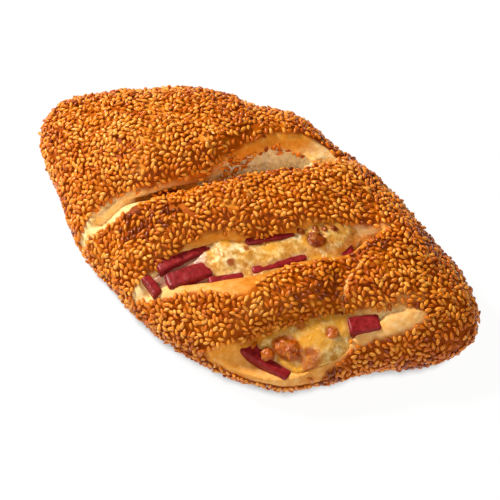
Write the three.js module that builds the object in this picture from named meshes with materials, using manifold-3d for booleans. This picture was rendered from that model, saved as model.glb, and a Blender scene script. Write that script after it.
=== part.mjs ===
// A filled sesame bread: a rhomb-shaped loaf with three slashes across its crown, melted
// cheese that runs through it, and sticks of salami that show in the slashes.
// Millimetres, +Z up. The origin is on the table under the middle of the loaf, +X runs
// towards the sharper tip, and the slashes open towards -Y.

import * as THREE from 'three';
import { mergeVertices } from 'three/addons/utils/BufferGeometryUtils.js';
import { MeshSurfaceSampler } from 'three/addons/math/MeshSurfaceSampler.js';
import { RoundedBoxGeometry } from 'three/addons/geometries/RoundedBoxGeometry.js';
import Module from 'manifold-3d';

const wasm = await Module();
wasm.setup();

// ---- driving dimensions ----

const heart = new THREE.Vector2(-9.1, 6);  // the point that the outline radii start from
// Outline radii, one every 22.5 degrees from +X, counter-clockwise. The two longest are the tips.
const outlineRadii = [
  118.8, 84.4, 65.9, 56.7, 57.9, 56.4, 67.9, 80.3,
  100.7, 78.8, 69.8, 64.5, 67.6, 75.4, 90.3, 97.1,
];
const crownHeight = 45;
const bellyHeight = 13;      // where the loaf is widest
const baseShare = 0.86;      // width of the flat base, as a share of the belly's
const crownPower = 2.6;      // how late the crown rounds over towards the sides
const slashAngle = 48;       // degrees from +X to the slashes, in plan
const joinGap = 0.3;         // between pieces that touch

const seedSize = new THREE.Vector3(3.2, 1.9, 1.3);
const seedScales = [0.9, 1.12];
const seedCount = 100;
const seedFloor = 3.5;       // no seed's middle lies lower than this

const fillingFloor = 9;      // the cheese that runs under the slashes
const fillingCeiling = 17;
const fillingShare = 0.84;   // its outline, as a share of the loaf's

// The slashes, from the far one to the near one. Each station gives, at a distance along the
// slash, the two edges of the opening, the depth of its floor, the height of the cheese in it,
// and the width of bare dough between each edge and the first seeds. The dough stays bare
// from `bareFrom` on, along the slash.
const slashes = [
  {
    farRound: { reach: 13, drop: 9 },
    nearRound: { reach: 12, drop: 9 },
    bareFrom: -64,
    stations: [
      { at: -62, far: -17.5, near: -13.5, floor: 28, cheese: 10, farLip: 1, nearLip: 5 },
      { at: -52, far: -21.7, near: -17, floor: 24, cheese: 10, farLip: 1, nearLip: 8 },
      { at: -42, far: -20, near: -16.8, floor: 20, cheese: 13, farLip: 1, nearLip: 7 },
      { at: -32, far: -19.4, near: -15.2, floor: 16, cheese: 19, farLip: 1, nearLip: 3 },
      { at: -18, far: -19.9, near: -14.4, floor: 16, cheese: 20, farLip: 1, nearLip: 3 },
      { at: -2, far: -23.5, near: -14.6, floor: 18, cheese: 15, farLip: 2, nearLip: 3 },
      { at: 14, far: -26.6, near: -15, floor: 20, cheese: 15, farLip: 4, nearLip: 3 },
      { at: 30, far: -26, near: -12.8, floor: 24, cheese: 15, farLip: 5, nearLip: 4 },
      { at: 39, far: -23, near: -14, floor: 26, cheese: 15, farLip: 6, nearLip: 4 },
      { at: 48, far: -17.5, near: -14.5, floor: 31, cheese: 15, farLip: 2, nearLip: 2 },
    ],
  },
  {
    farRound: { reach: 13, drop: 8 },
    nearRound: { reach: 12, drop: 8 },
    bareFrom: -55,
    stations: [
      { at: -51, far: 21.5, near: 27, floor: 25, cheese: 22, farLip: 1, nearLip: 3 },
      { at: -44, far: 20.2, near: 25, floor: 19, cheese: 24.5, farLip: 1, nearLip: 9 },
      { at: -32, far: 17.2, near: 28, floor: 15, cheese: 28.5, farLip: 2, nearLip: 9 },
      { at: -20, far: 15.6, near: 31.6, floor: 15, cheese: 31.5, farLip: 3, nearLip: 12 },
      { at: -8, far: 18.6, near: 33.5, floor: 15, cheese: 33, farLip: 2, nearLip: 11 },
      { at: 8, far: 21.6, near: 32.7, floor: 15, cheese: 33, farLip: 1, nearLip: 6 },
      { at: 20, far: 21.7, near: 33.2, floor: 15, cheese: 34, farLip: 1, nearLip: 6 },
      { at: 32, far: 22.6, near: 34.3, floor: 20, cheese: 33.5, farLip: 1, nearLip: 5 },
      { at: 41, far: 25.5, near: 32, floor: 30, cheese: 28, farLip: 1, nearLip: 4 },
      { at: 51, far: 27.5, near: 29.5, floor: 35, cheese: 25, farLip: 1, nearLip: 3 },
    ],
  },
  {
    farRound: { reach: 10, drop: 5 },
    nearRound: { reach: 8, drop: 3 },
    bareFrom: -34,
    stations: [
      { at: -15, far: 60.5, near: 63, floor: 17, cheese: 15, farLip: 1, nearLip: 14 },
      { at: -6, far: 60.3, near: 69.5, floor: 12, cheese: 20, farLip: 1, nearLip: 10 },
      { at: 3, far: 60.6, near: 76, floor: 11, cheese: 22, farLip: 1, nearLip: 4 },
      { at: 12, far: 58.8, near: 77.5, floor: 11, cheese: 24, farLip: 1, nearLip: 2 },
      { at: 22, far: 60, near: 75, floor: 13, cheese: 25, farLip: 1, nearLip: 1 },
      { at: 30, far: 62.4, near: 69.8, floor: 17, cheese: 23.5, farLip: 1, nearLip: 5 },
      { at: 40, far: 65.4, near: 69, floor: 23, cheese: 20, farLip: 1, nearLip: 6 },
      { at: 50, far: 66.7, near: 69.3, floor: 29, cheese: 15, farLip: 1, nearLip: 6 },
    ],
  },
];

// The near side slumps low at its left end and climbs to full height towards the tip.
const slump = {
  start: 54,
  end: 68,
  crest: [{ at: -40, height: 14 }, { at: -5, height: 15.5 }, { at: 15, height: 23 },
    { at: 32, height: 31 }, { at: 60, height: 45 }],
};

// A fold in the crust, from the end of the middle slash to the near one.
const fold = { from: [57.5, -1], to: [61, -20], depth: 4.5, halfWidth: 9 };

// Gentle waves of the crust: half their height, and the lengths they repeat in, along X and Y.
const ripple = { half: 0.5, first: [7, 11], second: [-13, 6] };

// Salami sticks: middle, plan direction in degrees, tilt in degrees, length, width and height.
const salami = [
  { name: 'salami_far_slash', middle: [-34.6, -8.2, 21.8], turn: 48, tilt: 0, size: [14, 6.5, 5.5] },
  { name: 'salami_upper', middle: [-7, -32.4, 29.5], turn: 59, tilt: 2, size: [30, 7, 5.5] },
  { name: 'salami_lower', middle: [-1.3, -41.2, 28.5], turn: 52, tilt: 3, size: [19.5, 7.4, 6] },
  { name: 'salami_corner', middle: [-13.1, -52, 25.5], turn: -24, tilt: -2, size: [10.5, 4.6, 5] },
  { name: 'salami_lip_left', middle: [13.2, -35.4, 30], turn: 41, tilt: 0, size: [15, 4.5, 5] },
  { name: 'salami_lip_right', middle: [28, -17.5, 30.5], turn: 50, tilt: 0, size: [24, 4.5, 5] },
  { name: 'salami_far_lip', middle: [18.5, -9.6, 33.4], turn: 44, tilt: 0, size: [21, 5, 5] },
  { name: 'salami_chunk', middle: [46.5, 3.2, 29], turn: 40, tilt: 0, size: [9, 6, 5.5] },
  { name: 'salami_flank', middle: [43.5, -52.3, 16], turn: 0, tilt: -9, size: [23, 7.5, 6] },
  { name: 'salami_near_slash', middle: [71.5, -21.9, 25], turn: 42, tilt: 1, size: [13, 8, 7] },
];

// Browned lumps and blisters on the cheese: place and radii.
const brownedLumps = [
  { middle: [49.5, -45.5, 21.5], size: [6.2, 4.6, 3.6] },
  { middle: [43.5, -51.5, 19.8], size: [2.9, 2.6, 2.2] },
  { middle: [62, -31.8, 25.6], size: [2.9, 2.8, 1.8] },
  { middle: [35.6, -0.6, 34.6], size: [3.7, 3.3, 1.9] },
];

// ---- fineness of the meshes ----

const loafMesh = { sides: 66, undersideRows: 3, crownRows: 17 };
const fillingMesh = { sides: 24, rows: 4 };
const troughMesh = { around: 10, along: 14 };

// ---- finishes ----

const crust = new THREE.MeshStandardMaterial({ color: 0xcf8236, roughness: 0.7, metalness: 0 });
const cheeseFinish = new THREE.MeshStandardMaterial({ color: 0xeed08a, roughness: 0.35, metalness: 0 });
const salamiFinish = new THREE.MeshStandardMaterial({ color: 0x8e2a38, roughness: 0.4, metalness: 0 });

// ---- small helpers ----

const { clamp, degToRad, lerp, smoothstep } = THREE.MathUtils;
const alongSlash = new THREE.Vector2(Math.cos(degToRad(slashAngle)), Math.sin(degToRad(slashAngle)));
const acrossSlash = new THREE.Vector2(alongSlash.y, -alongSlash.x);

function smoothCurve(before, start, end, after, share) {
  const bend = 2 * before - 5 * start + 4 * end - after;
  const twist = 3 * (start - end) + after - before;
  return start + 0.5 * share * (end - before + share * (bend + share * twist));
}

function outlineRadius(angle) {
  const count = outlineRadii.length;
  const place = THREE.MathUtils.euclideanModulo(angle / (2 * Math.PI), 1) * count;
  const first = Math.floor(place);
  const radius = (step) => outlineRadii[(first + step + count) % count];
  return smoothCurve(radius(-1), radius(0), radius(1), radius(2), place - first);
}

// One value of a list of stations, eased between them.
function stationValue(stations, key, along) {
  const last = stations.length - 1;
  if (along <= stations[0].at) return stations[0][key];
  if (along >= stations[last].at) return stations[last][key];
  const next = stations.findIndex((station) => station.at > along);
  const value = (index) => stations[clamp(index, 0, last)][key];
  const share = (along - stations[next - 1].at) / (stations[next].at - stations[next - 1].at);
  return smoothCurve(value(next - 2), value(next - 1), value(next), value(next + 1), share);
}

function toSlash(x, y) {
  return { along: x * alongSlash.x + y * alongSlash.y, across: x * acrossSlash.x + y * acrossSlash.y };
}

function fromSlash(along, across) {
  return {
    x: along * alongSlash.x + across * acrossSlash.x,
    y: along * alongSlash.y + across * acrossSlash.y,
  };
}

// ---- the loaf's outer form ----

// How far a lip rolls down beside an opening: steep at the edge, level at its reach.
function rolledDrop(distance, round) {
  const inward = 1 - clamp(distance / round.reach, 0, 1);
  return round.drop * inward * inward;
}

function slashDrop(slash, along, across) {
  const { stations } = slash;
  const past = Math.max(stations[0].at - along, along - stations[stations.length - 1].at, 0);
  const far = stationValue(stations, 'far', along);
  const near = stationValue(stations, 'near', along);
  const beyond = Math.max(far - across, across - near, 0);
  const round = across < (far + near) / 2 ? slash.farRound : slash.nearRound;
  return rolledDrop(Math.hypot(past, beyond), round);
}

// The mean of a height around a point, so that lips stay round between the corners of the mesh.
function softened(height, along, across) {
  const spread = 3;
  const around = [[0, 0], [spread, 0], [-spread, 0], [0, spread], [0, -spread]];
  const heights = around.map(([du, dv]) => height(along + du, across + dv));
  return heights.reduce((total, value) => total + value, 0) / heights.length;
}

function foldDrop(x, y) {
  const start = new THREE.Vector2(...fold.from);
  const run = new THREE.Vector2(...fold.to).sub(start);
  const offset = new THREE.Vector2(x, y).sub(start);
  const share = clamp(offset.dot(run) / run.lengthSq(), 0, 1);
  const distance = offset.distanceTo(run.multiplyScalar(share));
  return fold.depth * (1 - smoothstep(distance, 0, fold.halfWidth));
}

// Height of the crust over a point at a share of the way from the heart to the outline.
function crustHeight(x, y, share) {
  const { along, across } = toSlash(x, y);
  const dome = bellyHeight + (crownHeight - bellyHeight) * Math.sqrt(1 - share ** crownPower);
  const crest = stationValue(slump.crest, 'height', along);
  const slumped = lerp(dome, Math.min(dome, crest), smoothstep(across, slump.start, slump.end));
  const lipDrop = (u, v) => {
    const place = fromSlash(u, v);
    const deepest = Math.max(...slashes.map((slash) => slashDrop(slash, u, v)));
    return deepest + foldDrop(place.x, place.y);
  };
  const wave = ([overX, overY]) => Math.sin(x / overX + y / overY);
  const waves = ripple.half * (wave(ripple.first) + wave(ripple.second));
  const sideStillness = 1 - share ** 8;
  const drop = softened(lipDrop, along, across) + waves;
  const lowest = bellyHeight * lerp(1.1, 1, share);
  return Math.max(slumped - drop * sideStillness, lowest);
}

// A closed form spun from a profile of (share of the outline, height).
function shapedLathe(profile, sides, place, gap = 0) {
  const outline = profile.map(([share, z]) => new THREE.Vector2(share, z));
  const geometry = new THREE.LatheGeometry(outline, sides);
  const position = geometry.getAttribute('position');
  for (let i = 0; i < position.count; i++) {
    const share = Math.hypot(position.getX(i), position.getZ(i));
    const angle = Math.atan2(position.getZ(i), position.getX(i));
    const radius = share * outlineRadius(-angle);
    const x = heart.x + radius * Math.cos(-angle);
    const y = heart.y + radius * Math.sin(-angle);
    position.setXYZ(i, x, y, place(x, y, share, position.getY(i)));
  }
  return toSolid(geometry, gap);
}

function loafForm() {
  const { sides, undersideRows, crownRows } = loafMesh;
  const crowding = 0.8;  // brings the crown's rows closer to its sides
  const profile = [[0, 0]];
  for (let row = 0; row <= undersideRows; row++) {
    const turn = (row / undersideRows) * (Math.PI / 2);
    profile.push([lerp(baseShare, 1, Math.sin(turn)), bellyHeight * (1 - Math.cos(turn))]);
  }
  for (let row = 1; row <= crownRows; row++) {
    const turn = (row / crownRows) * (Math.PI / 2);
    profile.push([Math.cos(turn) ** crowding, crownHeight]);
  }
  return shapedLathe(profile, sides, (x, y, share, z) => (
    z > bellyHeight ? crustHeight(x, y, Math.min(share, 1)) : z
  ));
}

// ---- solids ----

// A closed mesh as a solid, with its faces moved out by a gap where it makes room for a neighbour.
function toSolid(geometry, gap = 0) {
  geometry.deleteAttribute('normal');
  geometry.deleteAttribute('uv');
  const merged = mergeVertices(geometry);
  if (gap > 0) swell(merged, gap);
  const corners = Array.from(merged.index.array);
  const kept = [];
  for (let i = 0; i < corners.length; i += 3) {
    const [a, b, c] = corners.slice(i, i + 3);
    if (a !== b && b !== c && c !== a) kept.push(a, b, c);
  }
  const mesh = new wasm.Mesh({
    numProp: 3,
    vertProperties: new Float32Array(merged.getAttribute('position').array),
    triVerts: new Uint32Array(kept),
  });
  return new wasm.Manifold(mesh);
}

function swell(geometry, gap) {
  const cornerAllowance = 1.4;
  geometry.computeVertexNormals();
  const position = geometry.getAttribute('position');
  const normal = geometry.getAttribute('normal');
  for (let i = 0; i < position.count; i++) {
    const place = new THREE.Vector3().fromBufferAttribute(position, i);
    const outward = new THREE.Vector3().fromBufferAttribute(normal, i);
    place.addScaledVector(outward, gap * cornerAllowance);
    position.setXYZ(i, ...place.toArray());
  }
}

function toGeometry(solid) {
  const mesh = solid.getMesh();
  const geometry = new THREE.BufferGeometry();
  geometry.setAttribute('position', new THREE.BufferAttribute(mesh.vertProperties, 3));
  geometry.setIndex(new THREE.BufferAttribute(mesh.triVerts, 1));
  geometry.computeVertexNormals();
  return geometry;
}

function toMesh(name, solid, finish) {
  const mesh = new THREE.Mesh(toGeometry(solid), finish);
  mesh.name = name;
  return mesh;
}

function largestPiece(solid) {
  return solid.decompose().reduce((best, piece) => (piece.volume() > best.volume() ? piece : best));
}

// ---- what is cut out of the slashes, and what fills them ----

// A trough along a slash between two heights, closed to a point at both ends.
function trough({ stations, squareness, from, to, inset, bottom, top }, gap = 0) {
  const geometry = new THREE.SphereGeometry(1, troughMesh.around, troughMesh.along);
  const position = geometry.getAttribute('position');
  const endBluntness = 0.4;
  const squared = (value) => Math.sign(value) * Math.abs(value) ** squareness;
  for (let i = 0; i < position.count; i++) {
    const axial = clamp(position.getY(i), -1, 1);
    const ring = Math.sqrt(1 - axial * axial);
    const turn = Math.atan2(position.getZ(i), position.getX(i));
    const along = lerp(from, to, (axial + 1) / 2);
    const far = stationValue(stations, 'far', along) + inset;
    const near = stationValue(stations, 'near', along) - inset;
    const low = bottom(along);
    const high = top(along);
    const open = ring ** endBluntness;
    const sideways = (far + near) / 2 + open * squared(Math.cos(turn)) * (near - far) / 2;
    const upward = (low + high) / 2 + open * squared(Math.sin(turn)) * (high - low) / 2;
    const { x, y } = fromSlash(along, sideways);
    position.setXYZ(i, x, y, upward);
  }
  return toSolid(geometry, gap);
}

function slashPocket({ stations }) {
  const skyHeight = 60;
  return trough({
    stations,
    squareness: 0.75,
    from: stations[0].at,
    to: stations[stations.length - 1].at,
    inset: 0,
    bottom: (along) => stationValue(stations, 'floor', along),
    top: () => skyHeight,
  });
}

function slashFilling({ stations }, gap) {
  const filled = stations.filter((station) => station.cheese > station.floor);
  const margin = 5;
  const rootDepth = 2;  // keeps the trough's underside inside the layer below it
  return trough({
    stations,
    squareness: 0.6,
    from: filled[0].at - margin,
    to: filled[filled.length - 1].at + margin,
    inset: joinGap,
    bottom: () => fillingFloor + rootDepth,
    top: (along) => stationValue(stations, 'cheese', along),
  }, gap);
}

function fillingLayer(gap) {
  const middle = (fillingFloor + fillingCeiling) / 2;
  const half = (fillingCeiling - fillingFloor) / 2;
  const { sides, rows } = fillingMesh;
  const profile = [];
  for (let row = 0; row <= rows; row++) {
    const turn = (row / rows) * Math.PI;
    profile.push([fillingShare * Math.sqrt(Math.sin(turn)), middle - half * Math.cos(turn)]);
  }
  profile[0][0] = 0;
  profile[rows][0] = 0;
  return shapedLathe(profile, sides, (x, y, share, z) => z, gap);
}

function salamiStick(stick, gap = 0) {
  const edgeRadius = 1.2;
  const geometry = new RoundedBoxGeometry(...stick.size, 1, edgeRadius);
  geometry.rotateY(degToRad(-stick.tilt));
  geometry.rotateZ(degToRad(stick.turn));
  geometry.translate(...stick.middle);
  return toSolid(geometry, gap);
}

function brownedLump(lump, gap) {
  const cragDepth = 0.12;
  const geometry = new THREE.IcosahedronGeometry(1, 1);
  const position = geometry.getAttribute('position');
  const point = new THREE.Vector3();
  for (let i = 0; i < position.count; i++) {
    point.fromBufferAttribute(position, i);
    const crag = Math.sin(5 * point.x + 3 * point.y) * Math.cos(4 * point.z + 2 * point.y);
    point.multiplyScalar(1 + cragDepth * crag);
    position.setXYZ(i, ...lump.size.map((radius, axis) => (
      lump.middle[axis] + radius * point.getComponent(axis)
    )));
  }
  return toSolid(geometry, gap);
}

function cheeseForm(gap = 0) {
  const fillings = slashes.map((slash) => slashFilling(slash, gap));
  const lumps = brownedLumps.map((lump) => brownedLump(lump, gap));
  return [...fillings, ...lumps].reduce((whole, piece) => whole.add(piece), fillingLayer(gap));
}

// ---- seeds ----

// A repeatable draw of numbers between 0 and 1.
function seededDraw(seed) {
  let state = seed;
  return () => {
    state = (Math.imul(state, 1664525) + 1013904223) >>> 0;
    return state / 4294967296;
  };
}

// Bare dough: the openings and their lips, with room for half a seed around them.
function isBare(point) {
  const { along, across } = toSlash(point.x, point.y);
  const margin = seedSize.x / 2;
  return slashes.some(({ bareFrom, stations }) => {
    const bareTo = stations[stations.length - 1].at;
    const inRange = along > bareFrom - margin && along < bareTo + margin;
    const far = stationValue(stations, 'far', along) - stationValue(stations, 'farLip', along);
    const near = stationValue(stations, 'near', along) + stationValue(stations, 'nearLip', along);
    return inRange && across > far - margin && across < near + margin;
  });
}

// Seeds spread evenly over the crust: each takes the roomiest of a few random places.
function seedSolids(loaf, neighbours) {
  const draw = seededDraw(7);
  const crustMesh = new THREE.Mesh(toGeometry(loaf));
  const sampler = new MeshSurfaceSampler(crustMesh).setRandomGenerator(draw).build();
  const places = [];
  const seeds = [];
  const candidatesEach = 24;
  const unlimited = 1000;
  while (seeds.length < seedCount) {
    let best = null;
    for (let i = 0; i < candidatesEach; i++) {
      const point = new THREE.Vector3();
      const normal = new THREE.Vector3();
      sampler.sample(point, normal);
      if (point.z < seedFloor || isBare(point)) continue;
      const room = Math.min(...places.map((place) => place.point.distanceTo(point)), unlimited);
      if (!best || room > best.room) best = { point, normal, room };
    }
    if (!best) continue;
    const turn = draw() * 2 * Math.PI;
    const scale = lerp(...seedScales, draw());
    const seed = seedSolid({ ...best, turn, scale });
    places.push(best);
    if (neighbours.every((neighbour) => neighbour.intersect(seed).isEmpty())) seeds.push(seed);
  }
  return seeds;
}

function seedSolid(place) {
  const geometry = new THREE.IcosahedronGeometry(0.5, 0);
  const size = seedSize.clone().multiplyScalar(place.scale);
  const lift = 0.22 * size.z;  // less than half, so that the seed is sunk in the crust
  const up = new THREE.Vector3(0, 0, 1);
  const middle = place.point.clone().addScaledVector(place.normal, lift);
  geometry.scale(...size.toArray());
  geometry.rotateZ(place.turn);
  geometry.applyQuaternion(new THREE.Quaternion().setFromUnitVectors(up, place.normal));
  geometry.translate(...middle.toArray());
  return toSolid(geometry);
}

// ---- the part ----

const group = new THREE.Group();

const sticks = salami.map((stick) => ({ name: stick.name, solid: salamiStick(stick) }));
const stickRoom = salami.map((stick) => salamiStick(stick, joinGap));

const cheese = largestPiece(stickRoom.reduce((whole, room) => whole.subtract(room), cheeseForm()));

const fillingRoom = [cheeseForm(joinGap), ...stickRoom];
const openings = [...slashes.map(slashPocket), ...fillingRoom];
const loaf = loafForm();
const bread = largestPiece(openings.reduce((whole, opening) => whole.subtract(opening), loaf));
const seeded = seedSolids(loaf, fillingRoom).reduce((whole, seed) => whole.add(seed), bread);

group.add(toMesh('bread', seeded, crust));
group.add(toMesh('cheese', cheese, cheeseFinish));
for (const stick of sticks) group.add(toMesh(stick.name, stick.solid, salamiFinish));

export default group;
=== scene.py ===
import math

import bpy
import numpy as np
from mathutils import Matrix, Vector, kdtree


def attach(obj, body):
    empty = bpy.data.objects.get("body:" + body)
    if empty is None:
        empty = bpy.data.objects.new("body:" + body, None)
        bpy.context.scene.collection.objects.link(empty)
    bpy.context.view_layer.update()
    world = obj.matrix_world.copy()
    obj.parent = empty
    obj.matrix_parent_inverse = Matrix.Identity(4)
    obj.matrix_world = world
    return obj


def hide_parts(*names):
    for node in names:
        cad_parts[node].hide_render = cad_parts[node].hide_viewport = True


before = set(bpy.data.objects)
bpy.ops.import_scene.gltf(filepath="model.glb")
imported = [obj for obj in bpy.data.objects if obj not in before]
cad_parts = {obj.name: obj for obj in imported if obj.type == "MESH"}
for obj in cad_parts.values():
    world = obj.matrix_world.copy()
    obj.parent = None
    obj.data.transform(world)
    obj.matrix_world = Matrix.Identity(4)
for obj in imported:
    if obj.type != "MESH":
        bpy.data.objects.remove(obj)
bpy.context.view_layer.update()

mm = 0.001
slashTurn = math.radians(48)  # from +X to the slashes, in plan
alongAxis = np.array((math.cos(slashTurn), math.sin(slashTurn)))
acrossAxis = np.array((math.sin(slashTurn), -math.cos(slashTurn)))


# Meshes in millimetres

def setMode(mode):
    bpy.ops.object.mode_set(mode=mode)


def selectOnly(piece):
    if bpy.context.mode != "OBJECT":
        setMode("OBJECT")
    bpy.ops.object.select_all(action="DESELECT")
    piece.select_set(True)
    bpy.context.view_layer.objects.active = piece


def named(name):
    piece = bpy.context.active_object
    piece.name = name
    piece.data.name = name
    return piece


# Starts a piece from one of Blender's own solids
def startWith(addSolid, name, **settings):
    bpy.ops.object.select_all(action="DESELECT")
    addSolid(**settings)
    return named(name)


def readAll(items, name, kind=np.float32, width=1):
    flat = np.empty(len(items) * width, kind)
    items.foreach_get(name, flat)
    return flat.reshape(-1, width) if width > 1 else flat


def getPoints(piece):
    return readAll(piece.data.vertices, "co", width=3).astype(float) / mm


def setPoints(piece, points):
    piece.data.vertices.foreach_set("co", (points * mm).astype(np.float32).ravel())
    piece.data.update()


def getNormals(piece):
    return readAll(piece.data.vertex_normals, "vector", width=3).astype(float)


def setShare(piece, name, values):
    layer = piece.data.attributes.get(name) or piece.data.attributes.new(name, "FLOAT", "POINT")
    layer.data.foreach_set("value", np.asarray(values, np.float32))


def finishWith(piece, kind, **settings):
    selectOnly(piece)
    bpy.ops.object.modifier_add(type=kind)
    modifier = piece.modifiers[-1]
    for key, value in settings.items():
        setattr(modifier, key, value)
    bpy.ops.object.modifier_apply(modifier=modifier.name)


def smoothShade(piece):
    selectOnly(piece)
    bpy.ops.object.shade_smooth()


def triangleCount(piece):
    return sum(len(face.vertices) - 2 for face in piece.data.polygons)


def ease(low, high, value):
    share = np.clip((value - low) / (high - low), 0, 1)
    return share * share * (3 - 2 * share)


# A soft random field between 0 and 1, whose lumps are about one size apart
def cloud(points, size, seed):
    place = points / size + 37.3 * (seed + 1)
    corner = np.floor(place).astype(np.int64)
    share = place - corner
    share = share * share * (3 - 2 * share)
    total = np.zeros(len(points))
    for step in np.ndindex(2, 2, 2):
        lattice = corner + step
        mixed = lattice[:, 0] * 73856093 ^ lattice[:, 1] * 19349663 ^ lattice[:, 2] * 83492791
        mixed = (mixed ^ (mixed >> 13)) * 1274126177 & 0x7fffffff
        mixed = (mixed ^ (mixed >> 16)) & 0xffff
        total += np.prod(np.abs(1 - np.array(step) - share), axis=1) * mixed / 0xffff
    return total


def clouds(points, size, seed, layers=3):
    total, weights = 0, 0
    for layer in range(layers):
        total = total + cloud(points, size / 2 ** layer, seed + 11 * layer) / 2 ** layer
        weights += 1 / 2 ** layer
    return total / weights


# The same field as a height either side of nought
def uneven(points, size, seed, height, layers=3):
    return (clouds(points, size, seed, layers) - 0.5) * height


# A share made stronger in some patches and weaker in others
def patchy(share, points, size, seed):
    return np.clip(share * (0.4 + 1.2 * clouds(points, size, seed)), 0, 1)


# The loaf

loaf = {
    "heart": (-9.1, 6.0),  # in plan, where the outline's radii start
    "outline": (117.4, 82.9, 64.3, 55.1, 56.3, 54.9, 66.4, 78.7, 99.1, 77.3, 68.2, 62.9, 66.2,
                73.9, 88.8, 95.6),
    "crown": 43.2,
    "crownPower": 2.6,
    "belly": 13.0,         # height of the widest outline
    "bellyRise": 0.1,      # how much higher than that the lowest crust may lie in the middle
    "edgePower": 8,        # how late the slashes run out toward the outline
    "baseShare": 0.86,     # the underside's size against the outline
    "baseFrom": 0.75,      # how far down the unit sphere the underside begins
    "baseLift": 0.5,       # the seeds pressed into the underside reach down to the table
    "segments": 320,
    "rings": 220,
    "ringPower": 0.8,
    "ripple": 0.5,
    # slump of the near side: across the slashes, then the crest's height along them
    "slump": (54, 68),
    "slumpAt": (-40, -5, 15, 32, 60),
    "slumpHeight": (14, 15.5, 23, 31, 45),
    # the bare flank: how much it lies under the seeded ridge, within what, and where it ends
    "flankStep": 1.8,
    "flankStepWidth": 2.5,
    "flankEnd": (-14, -6),
    "seedRowTop": 10.8,    # a row of seeds runs under it
    # the fold between the near ridge and the lobe to its right: its line in plan, and its ends
    "foldY": (-26, -23, -19.5, -16, -11.8, -8.2, -4.6, -1, 4),
    "foldX": (65, 62, 59.3, 57.7, 56.7, 56.4, 56.5, 57, 58),
    "foldEnds": ((-27, -20), (-3, 4)),
    "foldDepth": 3.4,
    "foldSag": 9,
    "foldRise": 3.4,
    "foldBulge": (1.4, 8, 6),  # height, place right of the line, width
    "foldBare": (0.2, 1.8),
    "foldFade": (0.3, 0.6),
    "foldPale": 0.45,
    "voxel": 1.0,
    "smoothing": 4,
    "mostTriangles": 196000,
    # a far wall that falls back is bare below the first height; below the second its dough is
    # golden instead of pale, as painted shade for the dark recess
    "hollowTops": (29, 28),
    "hollowFrom": (0.3, 2.5),
    "hollowReach": 2,
    "lipReach": (1, 2),
    "wallReach": (1.5, 2),
    # where bare dough, crumb and pale dough fade out
    "bareFade": (-1.0, 1.2),
    "crumbFade": (-0.7, 0.7),
    "crumbInside": (0.3, 1.5),
    "crumbAbove": (5, 8),
    "paleFade": (-4.5, 3.5),
    # unevenness: size of its lumps, seed of its field, height
    "bareRagged": (4, 5, 3),
    "crumbRagged": (3, 9, 3.5),
    "paleRagged": (7, 10, 6),
    "sparseRagged": (3.5, 16, 2.2),
    "crustLumps": (9, 3, 2.4),
    "doughSkin": (5, 4, 0.9),
    "crumbTorn": (2.2, 6, 1.1),
    "lipPatches": (7, 12),
    "darkeningPatches": (6, 19),
    "crumbSunk": 0.9,
    "pores": 700,
    "poreRadius": 0.8,
    "poreSpread": 0.45,
    "poreLimits": (0.45, 2.4),
    "poreDepth": 0.6,
    # large air cells: slash distance along, across, height, radius
    "hollows": ((27, -23.5, 27.5, 2.6), (30, -22.5, 27, 1.8), (-55, -21, 26, 1.5),
                (-52, -21.5, 28, 1.1)),
    # patches of smooth crust with few seeds: middle and radii along and across the slashes
    "sparse": (((-24, -56), (6, 9)), ((-31, -40), (7, 9)), ((-37, -28), (6, 5)),
               ((-9, -32), (6, 3.5)), ((-8, 6), (4.5, 3.5)), ((50, 65), (8, 4))),
    "sparseGolden": 0.6,
}
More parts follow.
